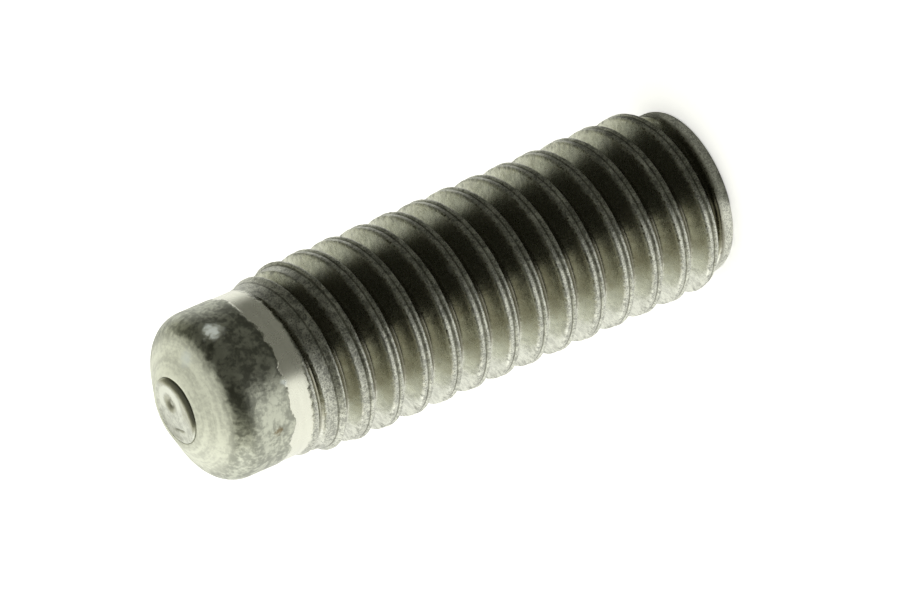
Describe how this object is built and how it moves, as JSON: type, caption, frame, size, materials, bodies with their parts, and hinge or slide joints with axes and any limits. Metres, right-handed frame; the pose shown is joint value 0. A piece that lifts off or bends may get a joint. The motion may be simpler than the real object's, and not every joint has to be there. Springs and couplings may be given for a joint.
{
  "type": "weld stud",
  "caption": "Full-thread arc weld stud with a smooth weld base, a coned weld face and a pressed-in flux ball.",
  "frame": {"origin": "centre of the flat thread end, on which the stud stands", "axes": "+Z along the stud's axis, from the thread end to the weld tip; +X is where the thread's crest passes half a pitch below the origin's plane"},
  "size_m": [0.0078, 0.0078, 0.0252],
  "materials": {
    "stud_steel": "bare rolled steel with thin dark oxide traces, semi-bright",
    "ball_aluminium": "pressed, matt to satin"
  },
  "bodies": {
    "root": {"stud": "stud_steel", "flux_ball": "ball_aluminium"}
  },
  "joints": []
}
